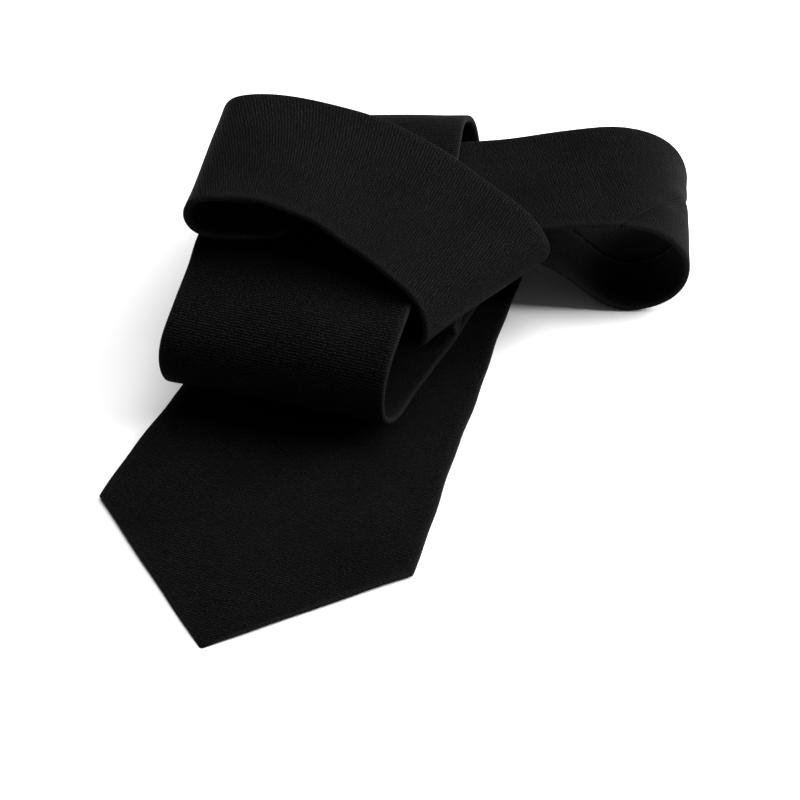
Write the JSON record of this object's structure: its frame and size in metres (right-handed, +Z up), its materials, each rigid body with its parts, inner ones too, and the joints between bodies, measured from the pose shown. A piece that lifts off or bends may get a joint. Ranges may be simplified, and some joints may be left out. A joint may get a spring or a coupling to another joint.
{
  "type": "necktie",
  "caption": "Gentleman's dark twill necktie, loosely rolled with its wide pointed blade lying flat in front.",
  "frame": {"origin": "middle of the bounding box's base, on the table the tie lies on", "axes": "+Z up from the table; +Y from the blade's point towards the rolled part; +X towards the side loop"},
  "size_m": [0.1714, 0.206, 0.0571],
  "materials": {
    "shell_cloth": "near-black fine silk twill, soft satin sheen",
    "interlining": "charcoal brushed wool-blend interlining",
    "lining": "black tipping cloth, smoother and shinier than the shell",
    "thread": "black sewing thread",
    "label": "plain woven satin label, nothing on it"
  },
  "bodies": {
    "root": {"blade_bar_tack": "thread", "blade_hem_stitch": "thread", "blade_interlining": "interlining", "blade_neck_seam": "thread", "blade_shell": "shell_cloth", "blade_tipping": "lining", "care_tag": "label", "interlining_seam": "thread", "keeper_loop": "shell_cloth", "label_patch": "label", "neck_shell": "shell_cloth", "neck_tail_seam": "thread", "slip_stitch_thread": "thread", "tail_bar_tack": "thread", "tail_hem_stitch": "thread", "tail_interlining": "interlining", "tail_shell": "shell_cloth", "tail_tipping": "lining"}
  },
  "joints": []
}
